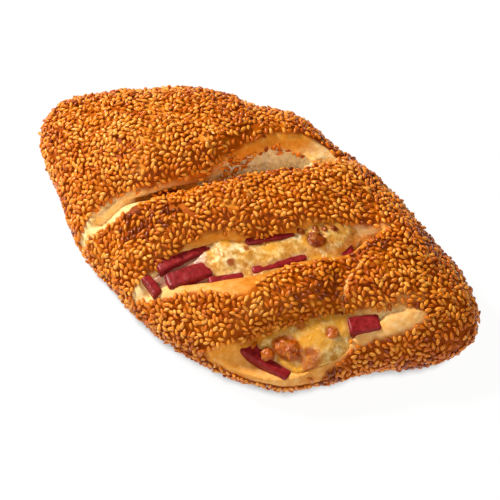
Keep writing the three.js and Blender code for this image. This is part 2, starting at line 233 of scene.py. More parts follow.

# The slashes from the far one to the near one. At stations along each stand the edges of the
# opening, its floor, the lines where the seeds stop on both sides, how far the far wall falls
# back in its lower part, the heights below which the dough is pale and the far wall is crumb,
# the height of the cheese, how pale and how much darker the near lip is, and how much the far
# wall is darkened by juice stains and by painted shade.
# Each edge is rolled over a reach and a drop, and the cheese spreads under both edges.
slashes = [
    {
        "cut": (-60, 47),
        "at": (-71, -64, -57, -52, -47, -42, -37, -32, -26, -18, -10, -2, 6, 14, 22, 30, 38, 44,
               49),
        "far": (-12, -17, -20.6, -21.7, -21.1, -19.9, -19.1, -19.4, -19.9, -19.9, -21, -23.5,
                -25.2, -26.6, -27, -26, -23.5, -20.5, -17.5),
        "near": (-10, -12.5, -14.5, -17, -18, -17.2, -15.8, -15.2, -15, -14.4, -14.2, -14.6, -14.9,
                 -15, -13.8, -12.8, -14, -17.5, -17),
        "floor": (32, 28.5, 25.5, 25, 24, 20.5, 15, 15, 15, 15, 15, 16, 17, 18, 19, 21, 25, 28,
                  31),
        "farSeeds": (-12.5, -17.5, -21.2, -22.3, -21.7, -20.6, -19.8, -20, -20.4, -20.4, -21.4,
                     -24.3, -27, -30.2, -31.6, -31.2, -29.6, -25, -17),
        "nearSeeds": (-9, -9.6, -8, -8.2, -9, -9.8, -11, -12.2, -12, -11.4, -11.2, -11.6, -12, -12,
                      -10.5, -9, -10.5, -13.5, -15),
        "recess": (0,) * 5 + (3, 6, 6, 6, 4) + (0,) * 9,
        "palePart": (36, 36, 38, 38, 38, 37, 36, 34, 33, 32, 32, 30, 28, 27, 27, 27, 29, 31, 30),
        "crumbPart": (10, 10, 10, 10, 10, 24, 24, 24, 24, 27, 34, 36.5, 31.5, 31.5, 32, 28.5, 26,
                      24, 20),
        "ripe": 0,  # how golden the cheese is
        "cheeseFar": (12, 12, 12, 12, 12, 12, 15, 19, 20, 20, 18, 17, 17, 16, 15, 15, 15, 15, 15),
        "cheeseNear": (12, 12, 12, 12, 12, 12, 15, 19, 20, 20, 18, 17, 17, 16, 15, 15, 15, 15, 15),
        "lipPale": (1.2, 1.2, 1.3, 1.1, 0.9, 0.8, 0.55, 0.4, 0.3, 0.3, 0.3, 0.3, 0.3, 0.3, 0.5,
                    0.9, 0.9, 0.9, 0.9),
        "lipDarkening": (0,) * 19,
        # painted shade with juice stains: slash 1's far wall darkens toward its right, where it
        # lies in shadow
        "wallStainAndShade": (0,) * 5 + (0.05, 0.15, 0.4, 0.6, 0.6, 0.35, 0.1) + (0,) * 7,
        "farRound": (13, 9),
        "nearRound": (15, 14),
        "spread": (3, 3),
    },
    {
        "cut": (-50, 49),
        "at": (-58, -54, -50, -44, -38, -32, -26, -20, -14, -8, 0, 8, 16, 24, 32, 38, 44, 50, 57),
        "far": (24, 22.5, 21.5, 20.2, 18.8, 17.2, 16, 15.6, 16.8, 18.6, 20.8, 21.6, 21.8, 21.7,
                22.6, 24.5, 26.4, 27.8, 28.3),
        "near": (26, 26.5, 27, 24.8, 25.2, 28, 30.2, 31.6, 32.8, 33.5, 33.7, 32.6, 32.6, 33.5,
                 34.3, 33, 30, 28.8, 28.6),
        "floor": (30, 24, 20, 17, 15, 15, 15, 15, 15, 15, 15, 15, 15, 15, 19, 29, 33, 35, 36),
        "farSeeds": (23.5, 22, 20.5, 19, 17.8, 15.4, 13.6, 12.5, 14, 16.6, 20, 20.6, 20.7, 20.3,
                     21.8, 23.3, 25.3, 26.7, 28.2),
        "nearSeeds": (25, 25.5, 28.5, 33, 35.3, 36.5, 39.5, 44, 46, 44.8, 40, 39, 40, 39, 39.3,
                      37.5, 34.3, 31.5, 28.6),
        "recess": (0,) * 19,
        "palePart": (30, 30, 30, 29, 29, 30, 31, 31, 31, 31, 31, 31, 31, 31, 31, 34, 36.5, 35, 33),
        "crumbPart": (10,) * 19,
        "ripe": 0.2,
        "cheeseFar": (18, 20, 23, 26, 28.6, 30, 31, 33, 34.5, 34.8, 34.3, 34.3, 34.8, 36.6, 36.6,
                      35.5, 31, 28, 26),
        "cheeseNear": (18, 19, 21, 24, 26.5, 28, 29, 30, 31.5, 32, 32.5, 32.5, 32.5, 32.3, 31, 28,
                       26, 26, 26),
        "lipPale": (0.9, 0.9, 0.8, 0.6, 0.4, 0.3, 0.25, 0.15, 0.1, 0, 0, 0, 0, 0, 0, 0.1, 0.2, 0.2,
                    0.2),
        # how much darker the bare dough of the near lip is
        "lipDarkening": (0, 0, 0, 0, 0, 0.05, 0.1, 0.15, 0.25, 0.4, 0.45, 0.45, 0.45, 0.45, 0.4, 0.3,
                     0.2, 0.2, 0.2),
        "wallStainAndShade": (0,) * 19,
        "farRound": (13, 8),
        "nearRound": (15, 13),
        "spread": (4, 4),
    },
    {
        "cut": (-14, 49),
        "at": (-40, -34, -28, -22, -16, -13, -8, -2, 3, 8, 12, 17, 22, 26, 30, 36, 40, 44, 50, 57),
        "far": (56, 57.5, 59, 60, 60.8, 60.8, 60.2, 60.4, 60.6, 59.4, 58.8, 59.2, 60, 61, 62.4,
                64.8, 65.6, 66.2, 67, 70),
        "near": (58, 59, 60.5, 61.5, 62, 62.5, 67, 73, 76.6, 78.8, 79.2, 77.6, 75.4, 72, 69.6, 70,
                 68.5, 68, 69, 71),
        "floor": (18, 18, 18, 18, 17, 16, 13, 11, 11, 11, 11, 12, 13, 15, 17, 20, 22, 25, 28, 30),
        "farSeeds": (53.5, 56, 58, 59.2, 60, 60, 59.3, 59.5, 59.8, 59.4, 59.1, 59.6, 60.4, 61.2,
                     62.2, 63.9, 64.6, 65, 66, 70.5),
        "nearSeeds": (53.5, 58.5, 64, 70.3, 75, 76.7, 78.5, 79.8, 80, 80, 79.6, 78.2, 76.8, 75.6,
                      74.8, 74.6, 75, 75.5, 75.5, 73.5),
        "recess": (0,) * 20,
        "palePart": (0,) * 10 + (10, 16, 22, 25, 27, 29, 30, 31, 31, 29),
        "crumbPart": (0,) * 12 + (10,) + (15,) * 7,
        "ripe": 0.4,
        "cheeseFar": (12, 12, 13, 14, 16, 19, 22.5, 24.5, 25.5, 27, 28, 28, 27.5, 26.5, 25.5, 24,
                      23, 22, 20, 18),
        "cheeseNear": (12, 12, 13, 14, 16, 17, 18.5, 18.5, 18.8, 20.2, 21.4, 22.5, 23, 23, 22.5,
                       22, 21, 20, 18, 18),
        "lipPale": (0.35, 0.35, 0.15, 0.1, 0.25, 0.3, 0.3, 0.25, 0.2, 0.2, 0.2, 0.3, 0.4, 0.5, 0.5,
                    0.45, 0.45, 0.45, 0.45, 0.4),
        "lipDarkening": (0,) * 20,
        "wallStainAndShade": (0,) * 20,
        "farRound": (10, 5),
        "nearRound": (8, 3),
        "spread": (3, 3.5),
    },
]


def easedAt(places, values, at):
    places, values = np.asarray(places, float), np.asarray(values, float)
    last = len(places) - 1
    at = np.clip(at, places[0], places[-1])
    step = np.clip(np.searchsorted(places, at, side="right") - 1, 0, last - 1)
    share = (at - places[step]) / (places[step + 1] - places[step])
    before, start, end = values[np.maximum(step - 1, 0)], values[step], values[step + 1]
    after = values[np.minimum(step + 2, last)]
    bend = 2 * before - 5 * start + 4 * end - after
    twist = 3 * (start - end) + after - before
    return start + 0.5 * share * (end - before + share * (bend + share * twist))


def stationAt(slash, key, along):
    return easedAt(slash["at"], slash[key], along)


def edgesAt(slash, along):
    return stationAt(slash, "far", along), stationAt(slash, "near", along)


def outlineRadius(angle):
    count = len(loaf["outline"])
    turns = np.mod(angle / (2 * math.pi), 1) * count
    ring = loaf["outline"][-2:] + loaf["outline"] + loaf["outline"][:3]
    return easedAt(np.arange(-2, count + 3), ring, turns)


def toSlash(x, y):
    return x * alongAxis[0] + y * alongAxis[1], x * acrossAxis[0] + y * acrossAxis[1]


def fromSlash(along, across):
    return (along * alongAxis[0] + across * acrossAxis[0],
            along * alongAxis[1] + across * acrossAxis[1])


def rolledDrop(distance, reach, drop):
    steepest = 0.96  # share of a quarter circle that the edge turns through
    inward = steepest * (1 - np.clip(distance / reach, 0, 1))
    return drop * (1 - np.sqrt(1 - inward ** 2)) / (1 - math.sqrt(1 - steepest ** 2))


def slashDrop(slash, along, across):
    past = np.maximum(np.maximum(slash["cut"][0] - along, along - slash["cut"][1]), 0)
    far, near = edgesAt(slash, along)
    beyond = np.maximum(np.maximum(far - across, across - near), 0)
    distance = np.hypot(past, beyond)
    return np.where(across < (far + near) / 2, rolledDrop(distance, *slash["farRound"]),
                    rolledDrop(distance, *slash["nearRound"]))


# How far right of the fold's line each place lies, and how strong the fold is there
def foldPlace(x, y):
    side = x - easedAt(loaf["foldY"], loaf["foldX"], y)
    start, end = loaf["foldEnds"]
    return side, ease(*start, y) * (1 - ease(*end, y))


def foldDrop(x, y):
    side, strength = foldPlace(x, y)
    sag = np.where(side < 0, 1 - ease(0, loaf["foldSag"], -side),
                   1 - ease(0, loaf["foldRise"], side))
    height, middle, width = loaf["foldBulge"]
    bulge = height * np.exp(-((side - middle) / width) ** 2)
    return strength * (loaf["foldDepth"] * sag - bulge)


def domeProfile(share):
    rise = np.sqrt(np.clip(1 - share ** loaf["crownPower"], 0, 1))
    return loaf["belly"] + (loaf["crown"] - loaf["belly"]) * rise


def domeHeight(x, y, share):
    along, across = toSlash(x, y)
    dome = domeProfile(share)
    crest = easedAt(loaf["slumpAt"], loaf["slumpHeight"], along)
    slump = ease(*loaf["slump"], across)
    return dome + slump * (np.minimum(dome, crest) - dome)


def crustHeight(x, y, share):
    along, across = toSlash(x, y)
    deepest = np.max([slashDrop(slash, along, across) for slash in slashes], axis=0)
    ripple = loaf["ripple"] * (np.sin(x / 7 + y / 11) + np.sin(y / 6 - x / 13))
    pastSeeds = across - stationAt(slashes[2], "farSeeds", along)
    stepped = ease(0, loaf["flankStepWidth"], pastSeeds) * (1 - ease(*loaf["flankEnd"], along))
    drop = deepest + foldDrop(x, y) + ripple + loaf["flankStep"] * stepped
    height = domeHeight(x, y, share) - drop * (1 - share ** loaf["edgePower"])
    return np.maximum(height, loaf["belly"] * (1 + loaf["bellyRise"] * (1 - share)))


def outlineShare(x, y):
    dx, dy = x - loaf["heart"][0], y - loaf["heart"][1]
    return np.clip(np.hypot(dx, dy) / outlineRadius(np.arctan2(dy, dx)), 0, 1)


# How far inside bare dough each point lies (negative among the seeds), the heights below which
# the dough is pale and below which it is crumb, how pale a near lip is, and whether the point
# is on a far wall
def bareDough(points):
    bareTop, paintedShadeTop = loaf["hollowTops"]
    bareFrom, paintedShadeFrom = loaf["hollowFrom"]
    x, y, z = points.T
    along, across = toSlash(x, y)
    inside = np.full(len(x), -99.0)
    paleLevel, crumbLevel, lipPale = np.zeros(len(x)), np.zeros(len(x)), np.zeros(len(x))
    onFarWall = np.zeros(len(x), bool)
    for slash in slashes:
        recess = stationAt(slash, "recess", along)
        farSeeds = stationAt(slash, "farSeeds", along)
        inHollow = (recess > bareFrom) & (z < bareTop)
        farSeeds = np.where(inHollow, farSeeds - recess - loaf["hollowReach"], farSeeds)
        margin = np.minimum(across - farSeeds, stationAt(slash, "nearSeeds", along) - across)
        margin = np.minimum(margin, np.minimum(along - slash["at"][0], slash["at"][-1] - along))
        farther = across < sum(edgesAt(slash, along)) / 2
        closer = margin > inside
        inside = np.where(closer, margin, inside)
        paleLevel = np.where(closer, stationAt(slash, "palePart", along), paleLevel)
        crumbLevel = np.where(closer, stationAt(slash, "crumbPart", along), crumbLevel)
        lipPale = np.where(closer, stationAt(slash, "lipPale", along), lipPale)
        # painted shade: in the recess the dough is golden rather than pale or crumb, so it reads
        # dark
        golden = (recess > paintedShadeFrom) & (z < paintedShadeTop) & closer
        paleLevel, crumbLevel = np.where(golden, 0, paleLevel), np.where(golden, 0, crumbLevel)
        onFarWall = np.where(closer, farther, onFarWall)
    side, strength = foldPlace(x, y)
    leftOf, rightOf = loaf["foldBare"]
    crease = np.minimum(side + leftOf, rightOf - side) - 3 * (1 - ease(*loaf["foldFade"], strength))
    lipPale = np.where(crease > inside, loaf["foldPale"], lipPale)
    onFarWall = onFarWall & (crease <= inside)
    inside = np.maximum(inside, crease)
    inside = np.minimum(inside, z - loaf["seedRowTop"])
    return inside, paleLevel, crumbLevel, lipPale, onFarWall


# How much darker the bare dough of a near lip is, and how much a far wall is darkened by juice
# stains and by painted shade where it lies in shadow
def bareDarkening(points):
    along, across = toSlash(*points[:, :2].T)
    toast = np.zeros(len(points))
    lipIn, lipOut = loaf["lipReach"]
    wallIn, wallOut = loaf["wallReach"]
    for slash in slashes:
        far, near = edgesAt(slash, along)
        onLip = (across > near - lipIn) & (across < stationAt(slash, "nearSeeds", along) + lipOut)
        toast = np.where(onLip, stationAt(slash, "lipDarkening", along), toast)
        # on a far wall the darkening is juice stains and painted shade
        onWall = (across < far + wallIn) & (across > stationAt(slash, "farSeeds", along) - wallOut)
        toast = np.where(onWall, stationAt(slash, "wallStainAndShade", along), toast)
    return patchy(toast, points, *loaf["darkeningPatches"])


def sparseness(points):
    along, across = toSlash(*points[:, :2].T)
    ragged = uneven(points, *loaf["sparseRagged"])
    sparse = np.zeros(len(points))
    for (u, n), (reachAlong, reachAcross) in loaf["sparse"]:
        away = np.hypot((along - u) / reachAlong, (across - n) / reachAcross) + ragged
        sparse = np.maximum(sparse, 1 - ease(0.5, 1.0, away))
    return sparse


def makeLoaf():
    piece = startWith(bpy.ops.mesh.primitive_uv_sphere_add, "sesame_loaf",
                      segments=loaf["segments"], ring_count=loaf["rings"], radius=1)
    unit = getPoints(piece) * mm
    angle = np.arctan2(unit[:, 1], unit[:, 0])
    flat = np.hypot(unit[:, 0], unit[:, 1])
    rise = np.clip(-unit[:, 2] / loaf["baseFrom"], 0, 1)
    under = loaf["baseShare"] + (1 - loaf["baseShare"]) * np.sqrt(1 - rise ** 2)
    innerBase = loaf["baseShare"] * np.clip(flat / math.sqrt(1 - loaf["baseFrom"] ** 2), 0, 1)
    lower = np.where(rise < 1, under, innerBase)
    share = np.where(unit[:, 2] > 0, flat ** loaf["ringPower"], lower)
    radius = share * outlineRadius(angle)
    x = loaf["heart"][0] + radius * np.cos(angle)
    y = loaf["heart"][1] + radius * np.sin(angle)
    below = loaf["baseLift"] + (loaf["belly"] - loaf["baseLift"]) * (1 - rise)
    z = np.where(unit[:, 2] > 0, crustHeight(x, y, share), below)
    setPoints(piece, np.stack((x, y, z), 1))
    for slash in slashes:
        pocket = makePocket(slash)
        finishWith(piece, "BOOLEAN", operation="DIFFERENCE", solver="EXACT", object=pocket)
        bpy.data.objects.remove(pocket)
    finishWith(piece, "REMESH", mode="VOXEL", voxel_size=loaf["voxel"] * mm)
    finishWith(piece, "SMOOTH", factor=0.5, iterations=loaf["smoothing"])
    return piece


# The cuts that open the loaf: a sphere drawn out along the slash, with steep sides
pockets = {
    "segments": 48,
    "rings": 96,
    "sky": 60,
    "endPower": 0.4,
    "squareness": 0.75,
    "recessFade": (26, 28.5),
    "recessSide": 1.5,
}


def makePocket(slash):
    piece = startWith(bpy.ops.mesh.primitive_uv_sphere_add, "pocket",
                      segments=pockets["segments"], ring_count=pockets["rings"], radius=1)
    unit = getPoints(piece) * mm
    axial = np.clip(unit[:, 2], -1, 1)
    opened = np.sqrt(1 - axial ** 2) ** pockets["endPower"]
    turn = np.arctan2(unit[:, 1], unit[:, 0])
    along = slash["cut"][0] + (slash["cut"][1] - slash["cut"][0]) * (axial + 1) / 2
    far, near = edgesAt(slash, along)
    floor, sky = stationAt(slash, "floor", along), pockets["sky"]
    sideways = np.sign(np.cos(turn)) * np.abs(np.cos(turn)) ** pockets["squareness"]
    upward = np.sign(np.sin(turn)) * np.abs(np.sin(turn)) ** pockets["squareness"]
    across = (far + near) / 2 + opened * sideways * (near - far) / 2
    z = (floor + sky) / 2 + opened * upward * (sky - floor) / 2
    low = 1 - ease(*pockets["recessFade"], z)
    farSide = np.clip(-sideways * pockets["recessSide"], 0, 1)
    across -= stationAt(slash, "recess", along) * low * farSide
    x, y = fromSlash(along, across)
    setPoints(piece, np.stack((x, y, z), 1))
    selectOnly(piece)
    setMode("EDIT")
    bpy.ops.mesh.select_all(action="SELECT")
    bpy.ops.mesh.remove_doubles(threshold=1e-6)
    bpy.ops.mesh.normals_make_consistent(inside=False)
    setMode("OBJECT")
    return piece


def refineWhere(piece, wanted):
    mesh = piece.data
    selectOnly(piece)
    setMode("EDIT")
    bpy.ops.mesh.select_mode(type="FACE")
    bpy.ops.mesh.select_all(action="DESELECT")
    setMode("OBJECT")
    totals = readAll(mesh.polygons, "loop_total", np.int32)
    corners = readAll(mesh.loops, "vertex_index", np.int32)
    starts = np.concatenate(([0], np.cumsum(totals)[:-1]))
    mesh.polygons.foreach_set("select", np.add.reduceat(wanted[corners].astype(int), starts) > 0)
    setMode("EDIT")
    bpy.ops.mesh.subdivide(number_cuts=1)
    setMode("OBJECT")


def searchTree(points):
    tree = kdtree.KDTree(len(points))
    for index, point in enumerate(points):
        tree.insert(point, index)
    tree.balance()
    return tree


# Round air cells that the cut opened in the crumb
def pressPores(points, normals, share, draw):
    tree = searchTree(points)
    candidates = np.nonzero(share > 0.7)[0]
    chosen = candidates[np.argsort(draw.random(len(points))[candidates])[:loaf["pores"]]]
    radii = loaf["poreRadius"] * draw.lognormal(0, loaf["poreSpread"], len(points))[chosen]
    cells = list(zip(chosen, radii.clip(*loaf["poreLimits"])))
    for along, across, z, radius in loaf["hollows"]:
        nearest = tree.find((*fromSlash(along, across), z))[1]
        cells.append((nearest, radius))
    moved = points.copy()
    for index, radius in cells:
        for _, other, distance in tree.find_range(points[index], radius):
            depth = radius * math.sqrt(1 - (distance / radius) ** 2)
            moved[other] -= normals[index] * loaf["poreDepth"] * depth
    return moved


def textureLoaf(piece):
    points = getPoints(piece)
    refineWhere(piece, bareDough(points)[0] > -1)
    points, normals = getPoints(piece), getNormals(piece)
    inside, paleLevel, crumbLevel, lipPale, onFarWall = bareDough(points)
    z = points[:, 2]
    bare = ease(*loaf["bareFade"], inside + uneven(points, *loaf["bareRagged"]))
    crumb = ease(*loaf["crumbFade"], crumbLevel - z + uneven(points, *loaf["crumbRagged"]))
    crumb = crumb * ease(*loaf["crumbInside"], inside) * ease(*loaf["crumbAbove"], z) * onFarWall
    pale = ease(*loaf["paleFade"], paleLevel - z + uneven(points, *loaf["paleRagged"]))
    pale = np.where(onFarWall, pale, patchy(lipPale, points, *loaf["lipPatches"]))
    lumps = uneven(points, *loaf["crustLumps"]) * (1 - bare) * ease(1, 6, z)
    skin = uneven(points, *loaf["doughSkin"]) * bare
    torn = -loaf["crumbSunk"] * crumb + uneven(points, *loaf["crumbTorn"]) * crumb
    points = points + normals * (lumps + skin + torn)[:, None]
    points = pressPores(points, normals, crumb, np.random.default_rng(5))
    setPoints(piece, points)
    golden = loaf["sparseGolden"] * sparseness(points)
    setShare(piece, "bare", np.maximum(bare * (1 - bareDarkening(points)), golden))
    setShare(piece, "pale", np.maximum(pale, crumb))
    setShare(piece, "crumb", crumb)
    smoothShade(piece)


print("loaf")
bread = makeLoaf()
textureLoaf(bread)
print("loaf triangles", triangleCount(bread))


# Materials

def colour(hexCode):
    channels = [int(hexCode[i:i + 2], 16) / 255 for i in (1, 3, 5)]
    return [c / 12.92 if c <= 0.04045 else ((c + 0.055) / 1.055) ** 2.4 for c in channels] + [1]


# Gives a node's inputs their values, their colours or the outputs that feed them
def setInputs(tree, node, inputs):
    for key, value in inputs.items():
        if isinstance(value, bpy.types.NodeSocket):
            tree.links.new(value, node.inputs[key])
        else:
            node.inputs[key].default_value = colour(value) if isinstance(value, str) else value


# Adds a node with its settings, a ramp's stops among them, and its inputs, and returns an output
def addNode(tree, kind, settings, inputs, output):
    node = tree.nodes.new("ShaderNode" + kind)
    for key, value in settings.items():
        if key != "stops":
            setattr(node, key, value)
            continue
        elements = node.color_ramp.elements
        while len(elements) < len(value):
            elements.new(0.5)
        for element, (place, hexCode) in zip(elements, value):
            element.position = place
            element.color = colour(hexCode)
    setInputs(tree, node, inputs)
    return node.outputs[output]


# Builds a material from its noises (size of a patch in mm, detail, roughness), the shares it
# reads off the mesh, its ramps (what drives them, stops) and its blends (share, colour at
# nought, colour at one), of which the last ones made are the surface's colour
def makeMaterial(look):
    material = bpy.data.materials.new(look["name"])
    material.use_nodes = True
    tree = material.node_tree
    place = addNode(tree, "TexCoord", {}, {}, "Object")
    made = {}
    for name, (size, detail, roughness) in look["noises"].items():
        inputs = {"Vector": place, "Scale": 1 / (size * mm), "Detail": detail,
                  "Roughness": roughness}
        made[name] = addNode(tree, "TexNoise", {}, inputs, "Fac")
    for name in look["shares"]:
        made[name] = addNode(tree, "Attribute", {"attribute_name": name}, {}, "Fac")
    for name, (source, stops) in look["ramps"].items():
        made[name] = addNode(tree, "ValToRGB", {"stops": stops}, {"Fac": made[source]}, "Color")
    for name, (share, first, second) in look["blends"].items():
        inputs = {0: made[share], 6: made.get(first, first), 7: made.get(second, second)}
        made[name] = addNode(tree, "Mix", {"data_type": "RGBA"}, inputs, 2)
    relief = {"Height": made["grain"], "Strength": 1.0, "Distance": look["grainDepth"] * mm}
    surface = {"Base Color": made["surface"], "Normal": addNode(tree, "Bump", {}, relief, "Normal")}
    setInputs(tree, tree.nodes["Principled BSDF"], {**surface, **look["shader"]})
    return material


# Dough baked under egg wash: satin brown crust in darker and lighter blotches, golden to cream
# where it tore open in the oven, and dull pale crumb
crustLook = {
    "name": "baked egg-washed crust",
    "noises": {"blotches": (14, 5, 0.6), "mottle": (2.5, 4, 0.6), "grain": (1.6, 4, 0.55)},
    "shares": ("pale", "crumb", "bare"),
    "ramps": {
        "crust": ("blotches", ((0.3, "#883400"), (0.5, "#a84e02"), (0.7, "#c66e0c"))),
        "golden": ("mottle", ((0.3, "#e2881e"), (0.5, "#ee9b32"), (0.7, "#f6b254"))),
        "cream": ("mottle", ((0.3, "#ecbe70"), (0.5, "#f5d392"), (0.7, "#fae2b0"))),
        "torn": ("mottle", ((0.3, "#e6cf98"), (0.5, "#f4e4b8"), (0.7, "#fbf1d2"))),
    },
    "blends": {
        "dough": ("pale", "golden", "cream"),
        "opened": ("crumb", "dough", "torn"),
        "surface": ("bare", "crust", "opened"),
    },
    "grainDepth": 0.25,
    "shader": {"Roughness": 0.5, "Specular IOR Level": 0.08},
}

# Hulled sesame toasted in the oven: oily, slightly see-through grains from straw to brown, the
# palest on the far lobe's left also painted light, each darker at its tip, with a small highlight
sesameLook = {
    "name": "toasted sesame",
    "noises": {"grain": (0.5, 2, 0.55)},
    "shares": ("toast", "tip"),
    "ramps": {"shade": ("toast", ((0.0, "#f8b04c"), (0.2, "#ee982a"), (0.5, "#de7c12"),
                                  (0.75, "#be5a08"), (0.9, "#9a420e"), (1.0, "#7a3210")))},
    "blends": {"surface": ("tip", "shade", "#8f420c")},
    "grainDepth": 0.06,
    "shader": {"Roughness": 0.26, "Specular IOR Level": 0.34, "Subsurface Weight": 0.25,
               "Subsurface Radius": (1, 0.5, 0.15), "Subsurface Scale": 0.8 * mm},
}

# Cheese melted and browned under top heat: wet, milky patches of cream and yellow whose fine
# mottle also paints small glints and shade, orange where its fat came out and deeper orange along
# its edges, pink by the meat, glossy brown blisters, and orange painted as shade beside a salami
# stick
cheeseLook = {
    "name": "melted cheese",
    "noises": {"fat": (11, 2, 0.55), "mottle": (3, 4, 0.6), "grain": (1.3, 3, 0.55)},
    "shares": ("orange", "pink", "char", "brown"),
    "ramps": {
        "patches": ("fat", ((0.38, "#000000"), (0.62, "#ffffff"))),
        # the light end of the cream and yellow mottle is partly a painted highlight for small wet
        # glints, its dark end partly painted shade
        "cream": ("mottle", ((0.36, "#b4863a"), (0.5, "#d4b06a"), (0.62, "#f8e8bc"))),
        "yellow": ("mottle", ((0.36, "#c67e26"), (0.5, "#dea446"), (0.62, "#f2cc7a"))),
        "toasted": ("mottle", ((0.3, "#963a06"), (0.5, "#bc5c0e"), (0.7, "#d88528"))),
    },
    "blends": {
        "base": ("patches", "cream", "yellow"),
        "warm": ("orange", "base", "#de9c26"),
        "pinked": ("pink", "warm", "#ac7864"),
        "crusted": ("char", "toasted", "#742204"),
        "surface": ("brown", "pinked", "crusted"),
    },
    "grainDepth": 0.4,
    "shader": {"Roughness": 0.22, "Specular IOR Level": 0.34, "Subsurface Weight": 0.3,
               "Subsurface Radius": (1, 0.7, 0.35), "Subsurface Scale": 2.5 * mm},
}

# Cured sausage cut into sticks: dark red, finely marbled, with a moist sheen
salamiLook = {
    "name": "moist cut salami",
    "noises": {"marbling": (2.0, 4, 0.7), "grain": (0.8, 3, 0.55)},
    "shares": (),
    "ramps": {"surface": ("marbling", ((0.3, "#6a1014"), (0.5, "#8a1c20"), (0.72, "#a02c2e")))},
    "blends": {},
    "grainDepth": 0.12,
    "shader": {"Roughness": 0.34, "Specular IOR Level": 0.22},
}


# A matt paper sweep on a light table: it glows white, so shadows stay faint, and a painted
# contact shadow darkens its glow in a narrow line where the loaf rests on it
def paperMaterial():
    material = bpy.data.materials.new("white paper sweep")
    material.use_nodes = True
    tree = material.node_tree
    # painted contact shadow: ambient occlusion within 4 mm of the loaf turns the glow grey
    paintedContactShadow = addNode(tree, "AmbientOcclusion", {}, {"Distance": 4 * mm}, "AO")
    stops = ((0.35, "#b4b4b4"), (0.9, "#ffffff"))
    glow = addNode(tree, "ValToRGB", {"stops": stops}, {"Fac": paintedContactShadow}, "Color")
    surface = {"Base Color": "#404040", "Roughness": 0.95, "Emission Color": glow,
               "Emission Strength": 0.95}
    setInputs(tree, tree.nodes["Principled BSDF"], surface)
    return material


bread.data.materials.clear()
bread.data.materials.append(makeMaterial(crustLook))
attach(bread, "root")
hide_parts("bread")


# Sesame seeds

seeds = {
    "length": 3.35,
    "width": 1.93,
    "thickness": 1.5,
    "spacing": 1.86,
    "strays": 0.0015,  # chance of a lone seed on bare dough
    # places where the seeds are toasted darker or less: middle and radii along and across the
    # slashes, and by how much; the zone made paler on the far lobe's left is painted light, where
    # that side faces the light
    "toasted": (
        ((-40, -1), (20, 10), 0.5),
        ((-75, -88), (4, 8), 0.35),
        # painted light: paler seeds on the far lobe's left side, which faces the light
        ((-52, -58), (20, 24), -0.5),
        ((8, -8), (26, 4), 0.35),
        ((12, 53), (18, 6), 0.4),
        ((14, 83), (12, 5), 0.4),
        ((52, 75), (20, 20), 0.2),
        ((46, 38), (6, 8), 0.35),
    ),
    "layered": 0.16,  # share of seeds that lie on top of others
    "tries": 120000,
    "rings": 5,
    "sides": 7,
    "groups": 4,      # joined pieces, split by how toasted the seeds are
    "neighbours": 10,
    "rounds": 4,
    "turns": 12,
    "crowdedAt": 2.0,  # overlap at which a seed may lie fully on its neighbours
    "tiltSpread": 0.16,
    "propped": (-0.35, 0.35),
    "sizeSpread": 0.1,
    "sunk": 0.25,     # how deep a seed's middle lies under half its thickness
}


def surfaceTriangles(piece):
    piece.data.calc_loop_triangles()
    return readAll(piece.data.loop_triangles, "vertices", np.int32, 3)


def unitRows(rows):
    return rows / np.linalg.norm(rows, axis=1)[:, None]


def spreadPlaces(piece, draw):
    points, normals = getPoints(piece), getNormals(piece)
    corners = surfaceTriangles(piece)
    a, b, c = (points[corners[:, i]] for i in range(3))
    areas = np.linalg.norm(np.cross(b - a, c - a), axis=1) / 2
    tries = seeds["tries"]
    picked = draw.choice(len(corners), tries, p=areas / areas.sum())
    u, v = draw.random(tries), draw.random(tries)
    u, v = np.where(u + v > 1, 1 - u, u), np.where(u + v > 1, 1 - v, v)
    weights = np.stack((1 - u - v, u, v), 1)
    spots = sum(weights[:, i:i + 1] * points[corners[picked, i]] for i in range(3))
    facing = unitRows(sum(weights[:, i:i + 1] * normals[corners[picked, i]] for i in range(3)))
    inside, _, crumbLevel, _, onFarWall = bareDough(spots)
    edge = inside + uneven(spots, 5, 8, 2.4)
    thin = np.maximum(ease(0.62, 0.72, clouds(spots, 11, 14)), sparseness(spots))
    chance = (1 - ease(-0.9, 0.2, edge)) * (1 - 0.9 * thin) * np.where(spots[:, 2] < 1.0, 0.2, 1)
    # seeds that slid down the far wall and toasted where the crumb begins
    fromCrumb = np.abs(spots[:, 2] - crumbLevel + uneven(spots, 6, 18, 3))
    row = onFarWall & (fromCrumb < 0.9) & (crumbLevel > 27)
    chance = np.maximum(chance, np.where(row, 0.35, seeds["strays"] * (spots[:, 2] > 12)))
    kept = np.nonzero(draw.random(len(spots)) < chance)[0]
    chosen = kept[thinOut(spots[kept], seeds["spacing"])]
    return spots[chosen], facing[chosen], chosen


def thinOut(spots, gap):
    cells, chosen = {}, []
    keys = np.floor(spots / gap).astype(int)
    around = list(np.ndindex(3, 3, 3))
    for index, (i, j, k) in enumerate(keys.tolist()):
        spot = spots[index]
        clear = True
        for di, dj, dk in around:
            for other in cells.get((i + di - 1, j + dj - 1, k + dk - 1), ()):
                offset = spots[other] - spot
                if offset @ offset < gap * gap:
                    clear = False
                    break
            if not clear:
                break
        if clear:
            cells.setdefault((i, j, k), []).append(index)
            chosen.append(index)
    return np.array(chosen)


